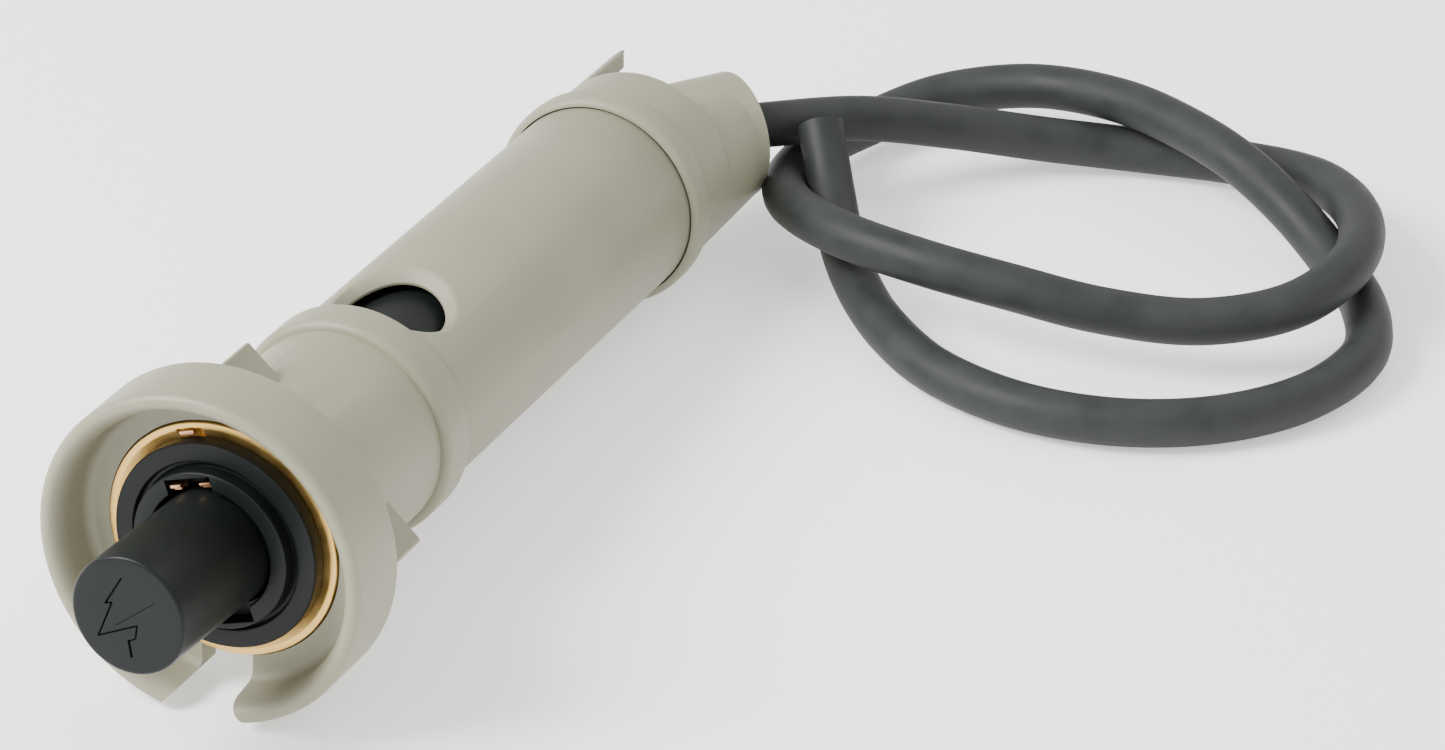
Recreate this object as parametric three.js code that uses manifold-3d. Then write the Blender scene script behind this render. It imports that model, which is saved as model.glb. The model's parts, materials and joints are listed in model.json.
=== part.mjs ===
// Push-button impact igniter in a moulded housing, with its high-voltage lead.
// Millimetres. Each sub-part is drawn about the housing axis, +Y from the button to the rear, and
// the finished group is tipped by REST_PITCH so that it rests on the hood and on the rear band.
import * as THREE from 'three';
import { mergeVertices } from 'three/addons/utils/BufferGeometryUtils.js';
import Module from 'manifold-3d';

const wasm = await Module();
wasm.setup();

// ---- resting position
const REST_PITCH = 3.29;          // degrees, rear end down
const AXIS_HEIGHT = 20.92;        // height of the axis over the front band's rear edge
const MIDDLE = 23.44;             // from that edge back to the middle of the housing

// ---- hood at the front
const HOOD_R = 23.8;
const HOOD_FRONT = -47;
const HOOD_BACK = -35.8;
const HOOD_EDGE = 1.1;            // rounding of the outer front edge
const CUP_R = 20.6;
const CUP_FILLET = 1.5;
const LIP_WIDTH = 1.8;            // the rounded inner lip, across and along the axis
const LIP_DEPTH = 3.4;
const DISC_FRONT = -39.5;
const RING_SEAT_R = 17.1;
const RING_SEAT_FLOOR = -37.7;
const BARREL_HOLE_R = 11.95;
const SLOT_W = 7.6;
const SLOT_X = 0.3;
const SLOT_TOP = 16.5;            // distance of the slot's inner end from the axis
const SLOT_FLARE_TOP = 20.2;      // where the slot starts to open out
const SLOT_FLARE_W = 15.6;        // its width at the depth of SLOT_FLARE_END
const SLOT_FLARE_END = 24.6;

// ---- brass ring in its seat
const RING_FRONT = -39.9;
const RING_R_IN = 12.1;
const RING_LAND_R = 16;           // inner edge of the flat outer land
const RING_SLOPE_R = 15.1;
const NOTCH_ANGLE = 101.5;
const KEY_ANGLE = 109;
const KEY_R = 15.45;
const KEY_W = 2.3;
const KEY_REACH = 0.8;            // its size along the radius
const NOTCH_W = 1.1;
const NOTCH_REACH = 1.4;

// ---- neck, bands and tube
const BORE_R = 12.8;
const NECK_R = 15.1;
const BAND_R = 16.4;
const BAND_LENGTH = 6.2;
const BAND_ROUND = 1.25;
const TUBE_R = 15;
const SOCKET_R = 15.25;
const SOCKET_DEPTH = 4.6;
const REAR_BAND_START = 74.8;
const REAR_BAND_FULL = 78.8;
const REAR_BAND_END = 80.8;
const REAR_SOCKET_END = 77.6;
const BODY_END = 90.2;
const BODY_EDGE = 0.9;
const CAVITY_END = 87;

// ---- panel lugs on the neck
const LUG_ANGLE = -42.5;          // direction of the lug on the right, degrees from +X
const LUG_START = -33;
const LUG_END = -21.8;
const LUG_HALF_WIDTH = 10.6;
const LUG_REACH = 17.5;

// ---- window in the tube
const WINDOW_X = 0.7;
const WINDOW_Y = 7.9;
const WINDOW_R = 7.2;
const SINK_X = 0.4;               // the countersink leans to the rear
const SINK_Y = 8.4;
const SINK_R = 8.5;
const SINK_DEPTH = 1.8;

// ---- cable spout
const SPOUT_ANGLE = 34;           // degrees from the axis towards +X
const SPOUT_X = 8.31;
const SPOUT_Y = 106.4;
const SPOUT_R = 9.6;
const SPOUT_BASE_R = 9.8;
const SPOUT_LENGTH = 23;
const SPOUT_BORE_R = 6.7;
const SPOUT_BORE_LENGTH = 15;
const GROMMET_LENGTH = 6;

// ---- fairing between the body and the spout: two circles, centre x and z, radius, and y
const FAIRING_BASE = { x: 2.95, z: -2.1, r: 11.8, y: 81 };
const FAIRING_END = { x: 6.8, z: -1.1, r: 9.05, y: 102.6 };

// ---- tongue standing behind the body
const TONGUE_ANGLE = 137;
const TONGUE_WIDTH = 6;
const TONGUE_WALL = 2.3;
const TONGUE_END = 103.2;
const TONGUE_SLANT = 38;          // degrees, the bevel across its end
const TONGUE_BEVEL_IN = 6.4;      // from the outer face in to the middle of the bevel's cutter
const TONGUE_BEVEL_BEYOND = 2.8;  // and from the end on to it

// ---- igniter barrel
const RIDGE_R = 11.35;
const RIDGE_FRONT = -43.5;
const GROOVE_R = 12.2;
const GROOVE_FLOOR = -41;
const FLANGE_R = 14.85;
const FLANGE_FRONT = -42;
const FLANGE_BACK = -39.7;
const BARREL_R = 11.6;
const BARREL_END = 42;
const BUTTON_BORE_R = 8.95;
const SHOULDER_BORE_R = 10.3;
const SHOULDER_STEP = -36.5;
const HAMMER_BORE_R = 5.2;
const BORE_STEP = -10;
const CONTACT_ANGLE = 108;        // direction of the slot that holds the contacts
const CONTACT_SLOT_W = 6.2;
const CONTACT_SLOT_R = 10.5;
const CONTACT_SLOT_FLOOR = -40.8;
const CLIP_OFFSET = 2;            // from the middle of the slot to the middle of each contact
const CLIP_W = 1.6;
const CLIP_R = 10;                // distance of the contact's leaf from the axis
const CLIP_LENGTH = 2;
const CLIP_THICKNESS = 0.5;
const CLIP_FOOT = 1.15;           // length of the foot that turns in at the slot's floor
const CLIP_GAP = 0.3;             // from the slot's floor to the foot

// ---- push button
const BUTTON_R = 8.35;
const BUTTON_FACE = -64.4;
const BUTTON_TILT = 2.1;          // degrees, the button's slack in its bore
const TILT_DIRECTION = 120;       // the way its face leans, degrees from +X towards +Z
const TILT_PIVOT = -42;
const BUTTON_END = -20.5;
const BUTTON_HOLLOW_R = 6.8;
const BUTTON_HOLLOW_START = -60.8;
const SHOULDER_R = 9.85;
const SHOULDER_FRONT = -35.8;
const SHOULDER_BACK = -32.9;
const MARK_DEPTH = 0.4;
const MARK_WIDTH = 0.35;
const MARK_CORNERS = [            // x and z of the bolt mark's corners on the face
  [-0.9, 5.2], [-3.2, 1.2], [-2.3, 1.4], [-4.3, -3.8], [1.4, -1], [1.2, -2.9], [0.2, -3.5],
  [0.6, -5.6],
];

// ---- works inside the barrel
const HAMMER_R = 4.95;
const HAMMER_START = -9;
const HAMMER_END = 7.5;
const HAMMER_NOSE_R = 3.2;
const HAMMER_NOSE_LENGTH = 1.6;
const TRIP_PIN = { radius: 1.2, length: 9.2, y: -3 };
const TRIP_HOLE_R = 1.35;
const ANVIL_START = 10.2;
const ANVIL_LENGTH = 3.2;
const ANVIL_R = 4.9;
const CRYSTAL_R = 3.3;
const CRYSTAL_LENGTH = 10;
const MID_ELECTRODE_LENGTH = 1;
const REAR_ELECTRODE_LENGTH = 2.4;
const SLEEVE_R = 4.95;
const STACK_GAP = 0.25;
const END_CAP_HOLE_R = 2.2;
const END_CAP_LENGTH = 5;
const END_CAP_NECK_R = 5.4;
const END_CAP_NECK_END = 12;      // from the end of the barrel
const PIN_START = 3.4;            // from the end of the barrel
const PIN_LENGTH = 15;
const PIN_R = 1.6;
const PIN_POINT_R = 1.1;
const PIN_POINT_LENGTH = 3;
const RETURN_SPRING = { radius: 5.5, wire: 0.9, turns: 7 };
const HAMMER_SPRING = { radius: 3.9, wire: 0.8, turns: 9 };
const CONTACT_SPRING = { radius: 1.5, wire: 0.5, turns: 4 };

// ---- high-voltage lead
const CABLE_D = 7;
const CABLE_R = CABLE_D / 2;
const LEAD_START = 66;
const LEAD_ANGLE = 44;            // direction of the lead as it leaves the spout
const LEAD_LIFT = 1.1;            // the lead lies high in the spout
const TERMINAL_R = 4.6;
const TERMINAL_HOLE_R = 1.9;
const CORD_STEPS = 76;

const FINE = 48;
const MEDIUM = 32;
const SMALL = 20;

const material = (color, metalness, roughness) =>
  new THREE.MeshStandardMaterial({ color, metalness, roughness });
const housingPlastic = () => material(0xb2b2a2, 0, 0.55);
const blackPlastic = () => material(0x2c302f, 0, 0.5);
const steel = () => material(0x9da1a4, 0.9, 0.35);
const brass = () => material(0xc9a050, 0.9, 0.3);
const copper = () => material(0xbf8f62, 0.9, 0.35);
const ceramic = () => material(0xe4dfd2, 0, 0.4);
const rubber = () => material(0x3c4140, 0, 0.85);

const group = new THREE.Group();
group.name = 'igniter';
const assembly = new THREE.Group();
assembly.name = 'assembly';
assembly.rotation.x = THREE.MathUtils.degToRad(-REST_PITCH);
assembly.position.set(0, -MIDDLE, AXIS_HEIGHT);
group.add(assembly);

// ---- helpers
function isFlat(a, b, c) {
  return a === b || b === c || a === c;
}

function signedVolume(points, triangles) {
  const a = new THREE.Vector3();
  const b = new THREE.Vector3();
  const c = new THREE.Vector3();
  let volume = 0;
  for (let i = 0; i < triangles.length; i += 3) {
    a.fromArray(points, 3 * triangles[i]);
    b.fromArray(points, 3 * triangles[i + 1]);
    c.fromArray(points, 3 * triangles[i + 2]);
    volume += a.dot(b.cross(c)) / 6;
  }
  return volume;
}

function solid(source) {
  const plain = source.clone();
  plain.deleteAttribute('normal');
  plain.deleteAttribute('uv');
  const joined = mergeVertices(plain, 1e-4);
  const points = Float32Array.from(joined.attributes.position.array);
  const raw = Array.from(joined.index.array);
  const triangles = [];
  for (let i = 0; i < raw.length; i += 3) {
    const [a, b, c] = [raw[i], raw[i + 1], raw[i + 2]];
    if (!isFlat(a, b, c)) triangles.push(a, b, c);
  }
  const inward = signedVolume(points, triangles) < 0;
  for (let i = 0; inward && i < triangles.length; i += 3) {
    [triangles[i + 1], triangles[i + 2]] = [triangles[i + 2], triangles[i + 1]];
  }
  const triVerts = Uint32Array.from(triangles);
  return new wasm.Manifold(new wasm.Mesh({ numProp: 3, vertProperties: points, triVerts }));
}

function geometryOf(shape) {
  const mesh = shape.getMesh();
  const geometry = new THREE.BufferGeometry();
  const points = Float32Array.from(mesh.vertProperties);
  geometry.setAttribute('position', new THREE.BufferAttribute(points, 3));
  geometry.setIndex(new THREE.BufferAttribute(Uint32Array.from(mesh.triVerts), 1));
  geometry.computeVertexNormals();
  return geometry;
}

function join(first, ...others) {
  return others.reduce((sum, shape) => sum.add(shape), first);
}

function cut(first, ...others) {
  return others.reduce((rest, shape) => rest.subtract(shape), first);
}

// A shape turned about the Y axis from a closed list of [radius, y].
function turned(profile, segments = MEDIUM) {
  const points = profile.map(([r, y]) => new THREE.Vector2(r, y));
  points.push(points[0].clone());
  return solid(new THREE.LatheGeometry(points, segments));
}

function ring(outer, inner, start, end, segments = MEDIUM) {
  return turned([[inner, start], [outer, start], [outer, end], [inner, end]], segments);
}

function rod(radius, start, end, segments = MEDIUM) {
  const geometry = new THREE.CylinderGeometry(radius, radius, end - start, segments);
  geometry.translate(0, (start + end) / 2, 0);
  return solid(geometry);
}

function block(width, length, height, x, y, z) {
  const geometry = new THREE.BoxGeometry(width, length, height);
  geometry.translate(x, y, z);
  return solid(geometry);
}

function turnAboutAxis(shape, degrees) {
  return shape.rotate([0, -degrees, 0]);
}

function roundCorner(r, y, radius, from, to, steps = 5) {
  const points = [];
  for (let i = 0; i <= steps; i += 1) {
    const angle = THREE.MathUtils.degToRad(from + (to - from) * i / steps);
    points.push([r + radius * Math.cos(angle), y + radius * Math.sin(angle)]);
  }
  return points;
}

function sweep(curve, radius, steps, sides) {
  const section = new THREE.Shape();
  for (let i = 0; i < sides; i += 1) {
    const angle = 2 * Math.PI * i / sides;
    const x = radius * Math.cos(angle);
    const y = radius * Math.sin(angle);
    if (i === 0) section.moveTo(x, y);
    else section.lineTo(x, y);
  }
  section.closePath();
  return new THREE.ExtrudeGeometry(section, { steps, extrudePath: curve, bevelEnabled: false });
}

class Coil extends THREE.Curve {
  constructor(radius, start, end, turns) {
    super();
    this.radius = radius;
    this.start = start;
    this.end = end;
    this.turns = turns;
  }

  getPoint(t, target = new THREE.Vector3()) {
    const angle = 2 * Math.PI * this.turns * t;
    const y = this.start + (this.end - this.start) * t;
    return target.set(this.radius * Math.cos(angle), y, this.radius * Math.sin(angle));
  }
}

function spring({ radius, wire, turns }, start, end) {
  const coil = new Coil(radius, start + wire / 2, end - wire / 2, turns);
  return sweep(coil, wire / 2, turns * 10, 6);
}

function place(name, shape, look, parent = assembly) {
  const geometry = shape.isBufferGeometry ? shape : geometryOf(shape);
  const mesh = new THREE.Mesh(geometry, look);
  mesh.name = name;
  parent.add(mesh);
  return mesh;
}

// ---- housing
function lug(angle) {
  const length = LUG_END - LUG_START;
  const slab = block(LUG_REACH, length, 2 * LUG_HALF_WIDTH, LUG_REACH / 2, LUG_START + length / 2, 0);
  const hole = rod(BORE_R + 0.5, LUG_START - 1, LUG_END + 1, FINE);
  return turnAboutAxis(cut(slab, hole), angle);
}

function roundedLip() {
  const points = [];
  const steps = 6;
  const edge = CUP_R + 0.2;
  for (let i = 0; i <= steps; i += 1) {
    const angle = Math.PI / 2 * i / steps;
    const r = edge + LIP_WIDTH * (1 - Math.cos(angle));
    points.push([r, HOOD_FRONT + LIP_DEPTH * (1 - Math.sin(angle))]);
  }
  return points;
}

function flaredSlot() {
  const length = HOOD_BACK - HOOD_FRONT + 2;
  const outline = [
    [-SLOT_W / 2, SLOT_TOP],
    [SLOT_W / 2, SLOT_TOP],
    [SLOT_W / 2, SLOT_FLARE_TOP],
    [SLOT_FLARE_W / 2, SLOT_FLARE_END],
    [-SLOT_FLARE_W / 2, SLOT_FLARE_END],
    [-SLOT_W / 2, SLOT_FLARE_TOP],
  ];
  const shape = new THREE.Shape(outline.map(([x, depth]) => new THREE.Vector2(x + SLOT_X, -depth)));
  const geometry = new THREE.ExtrudeGeometry(shape, { depth: length, bevelEnabled: false });
  geometry.rotateX(Math.PI / 2);
  geometry.translate(0, HOOD_BACK + 1, 0);
  return solid(geometry);
}

function frontHousing() {
  const bandFront = -BAND_LENGTH;
  const profile = [
    ...roundedLip(),
    ...roundCorner(HOOD_R - HOOD_EDGE, HOOD_FRONT + HOOD_EDGE, HOOD_EDGE, -90, 0, 5),
    [HOOD_R, HOOD_BACK],
    [NECK_R, HOOD_BACK],
    [NECK_R, bandFront],
    ...roundCorner(BAND_R - BAND_ROUND, bandFront + BAND_ROUND, BAND_ROUND, -90, 0, 5),
    [BAND_R, 0],
    [SOCKET_R, 0],
    [SOCKET_R, -SOCKET_DEPTH],
    [BORE_R, -SOCKET_DEPTH],
    [BORE_R, HOOD_BACK],
    [BARREL_HOLE_R, HOOD_BACK],
    [BARREL_HOLE_R, RING_SEAT_FLOOR],
    [RING_SEAT_R, RING_SEAT_FLOOR],
    [RING_SEAT_R, DISC_FRONT],
    ...roundCorner(CUP_R - CUP_FILLET, DISC_FRONT - CUP_FILLET, CUP_FILLET, 90, 0, 4),
  ];
  const shell = turned(profile, FINE);
  return cut(join(shell, lug(LUG_ANGLE), lug(LUG_ANGLE + 180)), flaredSlot());
}

function windowCutter() {
  const above = 2;
  const slope = (SINK_R - WINDOW_R) / SINK_DEPTH;
  const hole = new THREE.CylinderGeometry(WINDOW_R, WINDOW_R, 10, FINE);
  hole.rotateX(Math.PI / 2);
  hole.translate(WINDOW_X, WINDOW_Y, TUBE_R);
  const height = above + SINK_DEPTH;
  const sink = new THREE.CylinderGeometry(SINK_R + slope * above, WINDOW_R, height, FINE);
  sink.rotateX(Math.PI / 2);
  sink.translate(SINK_X, SINK_Y, TUBE_R + above - height / 2);
  return join(solid(hole), solid(sink));
}

function bodyTube() {
  const start = -SOCKET_DEPTH + 0.3;
  const end = REAR_SOCKET_END - 0.3;
  return cut(ring(TUBE_R, BORE_R, start, end, FINE), windowCutter());
}

function spoutCone(endRadius, baseRadius, length, overshoot) {
  const geometry = new THREE.CylinderGeometry(endRadius, baseRadius, length, FINE);
  geometry.translate(0, overshoot - length / 2, 0);
  geometry.rotateZ(-THREE.MathUtils.degToRad(SPOUT_ANGLE));
  geometry.translate(SPOUT_X, SPOUT_Y, 0);
  return solid(geometry);
}

// A leaning cone that fairs the body's side into the spout.
function sideFairing(base, end) {
  const length = end.y - base.y;
  const geometry = new THREE.CylinderGeometry(end.r, base.r, length, FINE);
  const lean = new THREE.Matrix4();
  lean.makeShear(0, 0, (end.x - base.x) / length, (end.z - base.z) / length, 0, 0);
  geometry.applyMatrix4(lean);
  geometry.translate((base.x + end.x) / 2, (base.y + end.y) / 2, (base.z + end.z) / 2);
  return solid(geometry);
}

// A strip of the body's wall left standing on the side away from the spout, its end cut aslant.
function tongue() {
  const start = BODY_END - 3;
  const wall = ring(TUBE_R, TUBE_R - TONGUE_WALL, start, TONGUE_END, FINE);
  const length = TONGUE_END - start + 2;
  const keep = block(2 * TONGUE_WALL + 2, length, TONGUE_WIDTH, TUBE_R, start + length / 2, 0);
  const bevel = block(8, 12, 20, 0, 0, 0)
    .rotate([0, 0, TONGUE_SLANT])
    .translate([TUBE_R - TONGUE_BEVEL_IN, TONGUE_END + TONGUE_BEVEL_BEYOND, 0]);
  return turnAboutAxis(cut(wall.intersect(keep), bevel), TONGUE_ANGLE);
}

function rearElbow() {
  const bandFront = REAR_BAND_START;
  const profile = [
    ...roundCorner(BAND_R - BAND_ROUND, bandFront + BAND_ROUND, BAND_ROUND, -75, 0, 5),
    [BAND_R, REAR_BAND_FULL],
    [BAND_R - 0.3, REAR_BAND_FULL + 0.8],
    [TUBE_R + 0.3, REAR_BAND_END - 0.6],
    [TUBE_R, REAR_BAND_END],
    ...roundCorner(TUBE_R - BODY_EDGE, BODY_END - BODY_EDGE, BODY_EDGE, 0, 90, 4),
    [0, BODY_END],
    [0, CAVITY_END],
    [BORE_R, CAVITY_END],
    [BORE_R, REAR_SOCKET_END],
    [SOCKET_R, REAR_SOCKET_END],
  ];
  const shell = turned(profile, FINE);
  const beyondEnd = block(40, 20, 40, 0, 10, 0)
    .rotate([0, 0, -SPOUT_ANGLE])
    .translate([SPOUT_X, SPOUT_Y, 0]);
  const cavity = rod(BORE_R, REAR_SOCKET_END, CAVITY_END, FINE);
  const spout = spoutCone(SPOUT_R, SPOUT_BASE_R, SPOUT_LENGTH, 0);
  const fairing = cut(sideFairing(FAIRING_BASE, FAIRING_END), beyondEnd);
  const outside = join(shell, cut(join(spout, fairing), cavity), tongue());
  const bore = spoutCone(SPOUT_BORE_R, SPOUT_BORE_R, SPOUT_BORE_LENGTH, 1);
  const passage = solid(sweep(leadCurve(-2), CABLE_R + 0.7, 14, 16));
  return cut(outside, bore, passage);
}

function spoutGrommet() {
  const lip = 0.4;
  const outer = SPOUT_BORE_R - 0.2;
  const inner = CABLE_R + 0.2;
  const bush = ring(outer, inner, -GROMMET_LENGTH, -lip, MEDIUM)
    .rotate([0, 0, -SPOUT_ANGLE])
    .translate([SPOUT_X, SPOUT_Y, 0]);
  return cut(bush, solid(sweep(leadCurve(2), CABLE_R + 0.5, 16, 16)));
}

// ---- igniter
function brassRing() {
  const outer = RING_SEAT_R - 0.2;
  const body = turned([
    [RING_R_IN, RING_SEAT_FLOOR - 0.2],
    [outer, RING_SEAT_FLOOR - 0.2],
    [outer, RING_FRONT + 0.1],
    [outer - 0.1, RING_FRONT],
    [RING_LAND_R, RING_FRONT],
    [RING_SLOPE_R, RING_FRONT + 0.6],
    [RING_R_IN, RING_FRONT + 0.6],
  ], FINE);
  const notch = turnAboutAxis(block(NOTCH_REACH, 2, NOTCH_W, KEY_R, RING_FRONT, 0), NOTCH_ANGLE);
  const recess = turnAboutAxis(
    block(KEY_REACH + 0.6, 1.4, KEY_W + 0.6, KEY_R, RING_FRONT, 0), KEY_ANGLE);
  return cut(body, notch, recess);
}

function ringKey() {
  return turnAboutAxis(block(KEY_REACH, 0.5, KEY_W, KEY_R, RING_FRONT + 0.1, 0), KEY_ANGLE);
}

function igniterBarrel() {
  const edge = 0.2;
  const profile = [
    [BUTTON_BORE_R, RIDGE_FRONT + edge],
    [BUTTON_BORE_R + edge, RIDGE_FRONT],
    [RIDGE_R - edge, RIDGE_FRONT],
    [RIDGE_R, RIDGE_FRONT + edge],
    [RIDGE_R, GROOVE_FLOOR],
    [GROOVE_R, GROOVE_FLOOR],
    [GROOVE_R, FLANGE_FRONT + edge],
    [GROOVE_R + edge, FLANGE_FRONT],
    [FLANGE_R - edge, FLANGE_FRONT],
    [FLANGE_R, FLANGE_FRONT + edge],
    [FLANGE_R, FLANGE_BACK],
    [BARREL_R, FLANGE_BACK],
    [BARREL_R, BARREL_END],
    [HAMMER_BORE_R, BARREL_END],
    [HAMMER_BORE_R, BORE_STEP],
    [SHOULDER_BORE_R, BORE_STEP],
    [SHOULDER_BORE_R, SHOULDER_STEP],
    [BUTTON_BORE_R, SHOULDER_STEP],
  ];
  const body = turned(profile, FINE);
  const depth = CONTACT_SLOT_FLOOR - RIDGE_FRONT + 1;
  const reach = CONTACT_SLOT_R - BUTTON_BORE_R + 1;
  const slot = block(reach, depth, CONTACT_SLOT_W, CONTACT_SLOT_R - reach / 2,
    CONTACT_SLOT_FLOOR - depth / 2, 0);
  return cut(body, turnAboutAxis(slot, CONTACT_ANGLE), turnAboutAxis(slot, CONTACT_ANGLE + 180));
}

function contactClip(side) {
  const offset = side * CLIP_OFFSET;
  const back = CONTACT_SLOT_FLOOR - CLIP_GAP;
  const footR = CLIP_R + (CLIP_THICKNESS - CLIP_FOOT) / 2;
  const leaf = block(CLIP_THICKNESS, CLIP_LENGTH, CLIP_W, CLIP_R, back - CLIP_LENGTH / 2, offset);
  const foot = block(CLIP_FOOT, CLIP_THICKNESS, CLIP_W, footR, back - CLIP_THICKNESS / 2, offset);
  return turnAboutAxis(join(leaf, foot), CONTACT_ANGLE);
}

// One straight groove of the mark, from one [x, z] to the next.
function groove([x0, z0], [x1, z1]) {
  const length = Math.hypot(x1 - x0, z1 - z0) + MARK_WIDTH;
  const bar = block(length, 2 * MARK_DEPTH, MARK_WIDTH, 0, BUTTON_FACE, 0);
  const angle = THREE.MathUtils.radToDeg(Math.atan2(z1 - z0, x1 - x0));
  return turnAboutAxis(bar, angle).translate([(x0 + x1) / 2, 0, (z0 + z1) / 2]);
}

function boltMark() {
  const grooves = MARK_CORNERS.slice(1).map((corner, i) => groove(MARK_CORNERS[i], corner));
  return join(...grooves);
}

function plungerButton() {
  const round = 0.6;
  const body = turned([
    [0, BUTTON_FACE],
    ...roundCorner(BUTTON_R - round, BUTTON_FACE + round, round, -90, 0, 4),
    [BUTTON_R, SHOULDER_FRONT],
    [SHOULDER_R, SHOULDER_FRONT],
    [SHOULDER_R, SHOULDER_BACK],
    [BUTTON_R, SHOULDER_BACK],
    [BUTTON_R, BUTTON_END],
    [BUTTON_HOLLOW_R, BUTTON_END],
    [BUTTON_HOLLOW_R, BUTTON_HOLLOW_START],
    [0, BUTTON_HOLLOW_START],
  ], 48);
  return leanButton(cut(body, boltMark()));
}

// The button leans about the mouth of its bore, as far as its slack lets it.
function leanButton(button) {
  return button
    .translate([0, -TILT_PIVOT, 0])
    .rotate([0, TILT_DIRECTION, 0])
    .rotate([0, 0, BUTTON_TILT])
    .rotate([0, -TILT_DIRECTION, 0])
    .translate([0, TILT_PIVOT, 0]);
}

function hammer() {
  const body = turned([
    [0, HAMMER_START],
    [HAMMER_R - 0.4, HAMMER_START],
    [HAMMER_R, HAMMER_START + 0.4],
    [HAMMER_R, HAMMER_END - HAMMER_NOSE_LENGTH],
    [HAMMER_NOSE_R, HAMMER_END],
    [0, HAMMER_END],
  ], SMALL);
  const across = 2 * HAMMER_R + 2;
  return cut(body, crossPin({ radius: TRIP_HOLE_R, length: across, y: TRIP_PIN.y }));
}

function crossPin({ radius, length, y }) {
  const geometry = new THREE.CylinderGeometry(radius, radius, length, 16);
  geometry.rotateZ(Math.PI / 2);
  geometry.translate(0, y, 0);
  return solid(geometry);
}

// ---- crystal stack, front to rear
function crystalStack() {
  const pieces = [
    ['anvil_cap', ANVIL_LENGTH, ANVIL_R, steel()],
    ['piezo_crystal_front', CRYSTAL_LENGTH, CRYSTAL_R, ceramic()],
    ['mid_electrode', MID_ELECTRODE_LENGTH, CRYSTAL_R, brass()],
    ['piezo_crystal_rear', CRYSTAL_LENGTH, CRYSTAL_R, ceramic()],
    ['rear_electrode', REAR_ELECTRODE_LENGTH, CRYSTAL_R, brass()],
  ];
  let y = ANVIL_START;
  for (const [name, length, radius, look] of pieces) {
    place(name, rod(radius, y, y + length, 24), look);
    y += length + STACK_GAP;
  }
  return y;
}

function endCap() {
  const start = BARREL_END + 0.3;
  const step = BARREL_END + END_CAP_LENGTH;
  const end = BARREL_END + END_CAP_NECK_END;
  return turned([
    [END_CAP_HOLE_R, start],
    [BARREL_R, start],
    [BARREL_R, step],
    [END_CAP_NECK_R, step],
    [END_CAP_NECK_R, end],
    [END_CAP_HOLE_R, end],
  ], MEDIUM);
}

function terminalPin() {
  const start = BARREL_END + PIN_START;
  const end = start + PIN_LENGTH;
  return turned([
    [0, start],
    [PIN_R, start],
    [PIN_R, end - PIN_POINT_LENGTH],
    [PIN_POINT_R, end],
    [0, end],
  ], SMALL);
}

function cableTerminal() {
  const start = BARREL_END + END_CAP_NECK_END + 0.4;
  return ring(TERMINAL_R, TERMINAL_HOLE_R, start, LEAD_START - 0.3, SMALL);
}

function leadCurve(beyond) {
  const turn = THREE.MathUtils.degToRad(LEAD_ANGLE);
  const start = new THREE.Vector3(0, LEAD_START, 0);
  const out = new THREE.Vector3(Math.sin(turn), Math.cos(turn), 0);
  const mouth = new THREE.Vector3(SPOUT_X, SPOUT_Y, LEAD_LIFT);
  const bend = mouth.clone().addScaledVector(out, -SPOUT_X / out.x);
  return new THREE.CubicBezierCurve3(
    start,
    new THREE.Vector3(0, bend.y - 9, 0),
    bend.clone().addScaledVector(out, 1),
    mouth.clone().addScaledVector(out, beyond));
}

function innerLead() {
  return sweep(leadCurve(-0.15), CABLE_R, 14, 12);
}

// ---- free lead, centre line in the resting frame
const CORD_ROUTE = [
  [8.6, 106.5, 15.9], [21.8, 121.5, 13.1], [33.1, 132.2, 9.0], [45.1, 140.6, 5.4],
  [58.4, 146.3, 3.7], [73.8, 147.7, 4.3], [89.4, 141.4, 7.5], [100.4, 127.6, 10.2],
  [104.0, 111.9, 11.2], [99.6, 99.4, 10.0], [88.6, 91.5, 8.9], [75.0, 87.1, 9.8],
  [61.7, 84.7, 11.8], [48.0, 83.9, 13.2], [33.0, 87.6, 12.9], [19.7, 99.2, 10.1],
  [15.0, 117.2, 7.0], [18.0, 134.7, 5.0], [25.6, 146.2, 6.1], [38.7, 150.5, 8.6],
  [54.1, 147.9, 10.7], [68.2, 141.1, 11.8], [79.7, 134.7, 11.1], [89.1, 130.3, 7.6],
  [97.5, 124.5, 4.3], [105.8, 114.6, 3.6], [110.5, 101.2, 3.6], [107.4, 87.1, 3.6],
  [98.2, 75.5, 3.6], [85.3, 68.5, 3.6], [70.7, 66.8, 3.6], [56.2, 70.7, 3.6],
  [44.9, 78.9, 3.6], [36.5, 88.0, 4.0], [30.1, 96.4, 5.8], [25.4, 103.4, 9.7],
  [21.4, 109.1, 14.9], [20.1, 110.8, 16.8],
];

function freeLead() {
  const points = CORD_ROUTE.map(([x, y, z]) => new THREE.Vector3(x, y - MIDDLE, z));
  return sweep(new THREE.CatmullRomCurve3(points), CABLE_R, CORD_STEPS, 10);
}

place('front_housing', frontHousing(), housingPlastic());
place('body_tube', bodyTube(), housingPlastic());
place('rear_elbow', rearElbow(), housingPlastic());
place('spout_grommet', spoutGrommet(), rubber());
place('brass_ring', brassRing(), brass());
place('ring_key', ringKey(), copper());
place('igniter_barrel', igniterBarrel(), blackPlastic());
place('contact_clip_left', contactClip(-1), copper());
place('contact_clip_right', contactClip(1), copper());
place('plunger_button', plungerButton(), blackPlastic());
const springSeat = BUTTON_HOLLOW_START + 0.2;
place('return_spring', spring(RETURN_SPRING, springSeat, BORE_STEP - 0.2), steel());
place('hammer_spring', spring(HAMMER_SPRING, springSeat, HAMMER_START - 0.2), steel());
place('hammer', hammer(), steel());
place('trip_pin', crossPin(TRIP_PIN), steel());
const stackEnd = crystalStack();
const sleeveStart = ANVIL_START + ANVIL_LENGTH + 0.3;
place('crystal_sleeve', ring(SLEEVE_R, CRYSTAL_R + 0.2, sleeveStart, stackEnd, 24), ceramic());
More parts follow.
